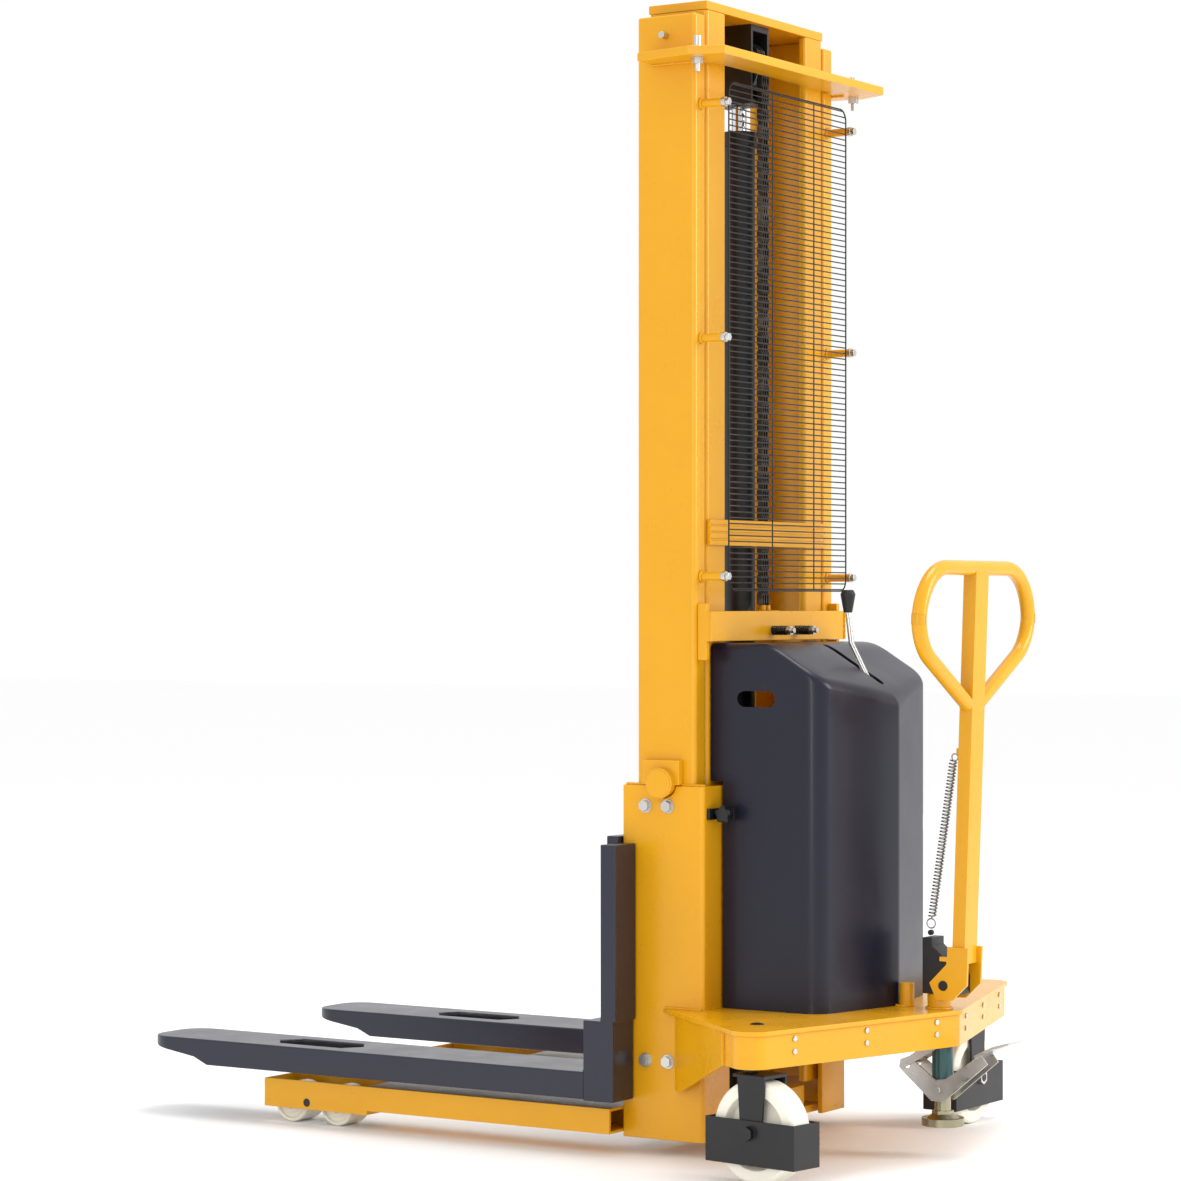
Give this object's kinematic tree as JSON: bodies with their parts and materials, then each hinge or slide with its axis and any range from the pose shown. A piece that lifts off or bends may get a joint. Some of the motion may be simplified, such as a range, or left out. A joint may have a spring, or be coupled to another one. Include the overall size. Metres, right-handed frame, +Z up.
{
  "type": "walkie stacker",
  "caption": "Electric-lift walkie stacker with a two-stage mast, straddle legs, fixed forks, rear casters, tow handle and foot-operated floor lock.",
  "frame": {"origin": "centre of the bounding box, on the floor", "axes": "+Y forward along the forks, +X to the machine's right, +Z up"},
  "size_m": [0.9906, 1.722, 2.1],
  "materials": {
    "yellow_paint": "satin",
    "navy_paint": "satin",
    "black_paint": "satin",
    "zinc": "satin",
    "dark_wire": "satin",
    "chrome": "polished",
    "nylon": "matte",
    "roller_steel": "satin",
    "chain_steel": "oiled",
    "teal_paint": "satin",
    "yellow_zinc": "satin",
    "battery_case": "gloss",
    "black_plastic": "matte",
    "spring_steel": "satin"
  },
  "bodies": {
    "chassis": {"outer_mast_channels": "yellow_paint", "mast_cross_member": "yellow_paint", "side_plates": "yellow_paint", "mast_brackets": "yellow_paint", "top_tie_plate": "yellow_paint", "wire_guard": "dark_wire", "guard_clamp_bolts": "zinc", "rear_cross_plate": "yellow_paint", "chain_anchor": "yellow_paint", "frame_bolts": "zinc", "adjuster_springs": "spring_steel", "base_plate": "yellow_paint", "base_skirt": "yellow_paint", "skirt_rivets": "zinc", "base_gussets": "yellow_paint", "pivot_bosses": "yellow_paint", "straddle_legs": "yellow_paint", "rear_cover": "navy_paint", "cover_clamps": "black_paint", "battery": "battery_case", "pump_motor": "black_paint", "power_pack": "black_paint", "lift_cylinder": "black_paint", "chain_rear": "chain_steel", "floor_lock_tube": "teal_paint"},
    "inner_mast": {"inner_mast_channels": "yellow_paint", "inner_mast_head": "yellow_paint", "piston_rod": "chrome", "pulley_yoke": "black_paint", "chain_front": "chain_steel"},
    "chain_pulley": {"chain_pulley": "roller_steel"},
    "mast_rollers": {"mast_rollers": "roller_steel"},
    "carriage": {"carriage_frame": "navy_paint", "carriage_brackets": "navy_paint", "fork_left": "navy_paint", "fork_right": "navy_paint"},
    "carriage_rollers_upper": {"carriage_rollers_upper": "roller_steel"},
    "carriage_rollers_lower": {"carriage_rollers_lower": "roller_steel"},
    "caster_left": {"caster_fork_left": "black_paint", "caster_nut_left": "zinc"},
    "caster_wheel_left": {"caster_wheel_left": "nylon"},
    "caster_right": {"caster_fork_right": "black_paint", "caster_nut_right": "zinc"},
    "caster_wheel_right": {"caster_wheel_right": "nylon"},
    "bogie_left": {"bogie_left": "black_paint"},
    "bogie_right": {"bogie_right": "black_paint"},
    "load_wheel_left_front": {"load_wheel_left_front": "nylon"},
    "load_wheel_left_rear": {"load_wheel_left_rear": "nylon"},
    "load_wheel_right_front": {"load_wheel_right_front": "nylon"},
    "load_wheel_right_rear": {"load_wheel_right_rear": "nylon"},
    "tiller_block": {"handle_pivot_block": "black_paint", "handle_spring": "spring_steel"},
    "tow_handle": {"tow_handle": "yellow_paint"},
    "control_lever": {"control_lever": "zinc", "lever_knob": "black_plastic"},
    "lock_foot": {"floor_lock_foot": "yellow_zinc"},
    "lock_pedal": {"floor_lock_pedal": "zinc"},
    "lock_link": {"floor_lock_link": "zinc"},
    "cover_screw_left": {"cover_screw_left": "black_plastic"},
    "cover_screw_right": {"cover_screw_right": "black_plastic"}
  },
  "joints": [
    {"name": "mast_lift", "type": "slide", "parent": "chassis", "child": "inner_mast", "axis": [0, 0, 1], "range_m": [-0.014, 1.38], "deforming": ["chain_rear"]},
    {"name": "carriage_lift", "type": "slide", "parent": "inner_mast", "child": "carriage", "axis": [0, 0, 1], "range_m": [-0.014, 1.38], "deforming": ["chain_front"]},
    {"name": "chain_pulley_spin", "type": "hinge", "parent": "inner_mast", "child": "chain_pulley", "pos_m": [0, -0.291, 2.005], "axis": [1, 0, 0], "range_deg": [-20, 1560]},
    {"name": "mast_roller_spin", "type": "hinge", "parent": "inner_mast", "child": "mast_rollers", "pos_m": [0, -0.287, 0.15], "axis": [1, 0, 0], "range_deg": [-20, 1745]},
    {"name": "carriage_roller_upper_spin", "type": "hinge", "parent": "carriage", "child": "carriage_rollers_upper", "pos_m": [0, -0.287, 0.5], "axis": [1, 0, 0], "range_deg": [-1745, 20]},
    {"name": "carriage_roller_lower_spin", "type": "hinge", "parent": "carriage", "child": "carriage_rollers_lower", "pos_m": [0, -0.287, 0.21], "axis": [1, 0, 0], "range_deg": [-20, 1745]},
    {"name": "caster_left_swivel", "type": "hinge", "parent": "chassis", "child": "caster_left", "pos_m": [-0.428, -0.562, 0.2], "axis": [0, 0, 1], "continuous": true},
    {"name": "caster_left_roll", "type": "hinge", "parent": "caster_left", "child": "caster_wheel_left", "pos_m": [-0.43191, -0.58669, 0.09], "axis": [0.9877, -0.1564, 0], "continuous": true},
    {"name": "caster_right_swivel", "type": "hinge", "parent": "chassis", "child": "caster_right", "pos_m": [0.421, -0.562, 0.2], "axis": [0, 0, 1], "continuous": true},
    {"name": "caster_right_roll", "type": "hinge", "parent": "caster_right", "child": "caster_wheel_right", "pos_m": [0.396, -0.56156, 0.09], "axis": [-0.0175, -0.9998, 0], "continuous": true},
    {"name": "bogie_left_rock", "type": "hinge", "parent": "chassis", "child": "bogie_left", "pos_m": [-0.2655, 0.486, 0.043], "axis": [1, 0, 0], "range_deg": [-10, 10]},
    {"name": "load_wheel_left_front_roll", "type": "hinge", "parent": "bogie_left", "child": "load_wheel_left_front", "pos_m": [-0.2655, 0.54, 0.038], "axis": [1, 0, 0], "continuous": true},
    {"name": "load_wheel_left_rear_roll", "type": "hinge", "parent": "bogie_left", "child": "load_wheel_left_rear", "pos_m": [-0.2655, 0.432, 0.038], "axis": [1, 0, 0], "continuous": true},
    {"name": "bogie_right_rock", "type": "hinge", "parent": "chassis", "child": "bogie_right", "pos_m": [0.2655, 0.486, 0.043], "axis": [1, 0, 0], "range_deg": [-10, 10]},
    {"name": "load_wheel_right_front_roll", "type": "hinge", "parent": "bogie_right", "child": "load_wheel_right_front", "pos_m": [0.2655, 0.54, 0.038], "axis": [1, 0, 0], "continuous": true},
    {"name": "load_wheel_right_rear_roll", "type": "hinge", "parent": "bogie_right", "child": "load_wheel_right_rear", "pos_m": [0.2655, 0.432, 0.038], "axis": [1, 0, 0], "continuous": true},
    {"name": "tiller_swivel", "type": "hinge", "parent": "chassis", "child": "tiller_block", "pos_m": [0, -0.71, 0.3], "axis": [0, 0, 1], "range_deg": [-60, 60]},
    {"name": "handle_tilt", "type": "hinge", "parent": "tiller_block", "child": "tow_handle", "pos_m": [0, -0.733, 0.313], "axis": [1, 0, 0], "range_deg": [0, 75], "stiffness_Nm_per_rad": 30, "springref_deg": -5.73, "deforming": ["handle_spring"]},
    {"name": "lift_lever", "type": "hinge", "parent": "chassis", "child": "control_lever", "pos_m": [0, -0.562, 0.775], "axis": [1, 0, 0], "range_deg": [-12, 12], "stiffness_Nm_per_rad": 6},
    {"name": "lock_press", "type": "slide", "parent": "chassis", "child": "lock_foot", "axis": [0, 0, -1], "range_m": [0, 0.056]},
    {"name": "lock_pedal_turn", "type": "hinge", "parent": "lock_foot", "child": "lock_pedal", "pos_m": [0, -0.717, 0.123], "axis": [1, 0, 0], "range_deg": [0, 34]},
    {"name": "lock_link_turn", "type": "hinge", "parent": "chassis", "child": "lock_link", "pos_m": [0, -0.717, 0.208], "axis": [1, 0, 0], "range_deg": [-34, 0]},
    {"name": "cover_screw_left_turn", "type": "hinge", "parent": "chassis", "child": "cover_screw_left", "pos_m": [-0.23, -0.396, 0.622], "axis": [1, 0, 0], "range_deg": [-180, 180]},
    {"name": "cover_screw_right_turn", "type": "hinge", "parent": "chassis", "child": "cover_screw_right", "pos_m": [0.23, -0.396, 0.622], "axis": [1, 0, 0], "range_deg": [-180, 180]}
  ],
  "couplings": [
    {"joint": "carriage_lift", "follows": "mast_lift", "ratio": 1},
    {"joint": "chain_pulley_spin", "follows": "mast_lift", "rad_per_m": 19.5},
    {"joint": "mast_roller_spin", "follows": "mast_lift", "rad_per_m": 21.88},
    {"joint": "carriage_roller_upper_spin", "follows": "mast_lift", "rad_per_m": -21.88},
    {"joint": "carriage_roller_lower_spin", "follows": "mast_lift", "rad_per_m": 21.88},
    {"joint": "lock_pedal_turn", "follows": "lock_press", "rad_per_m": 10.408},
    {"joint": "lock_link_turn", "follows": "lock_press", "rad_per_m": -10.408}
  ]
}
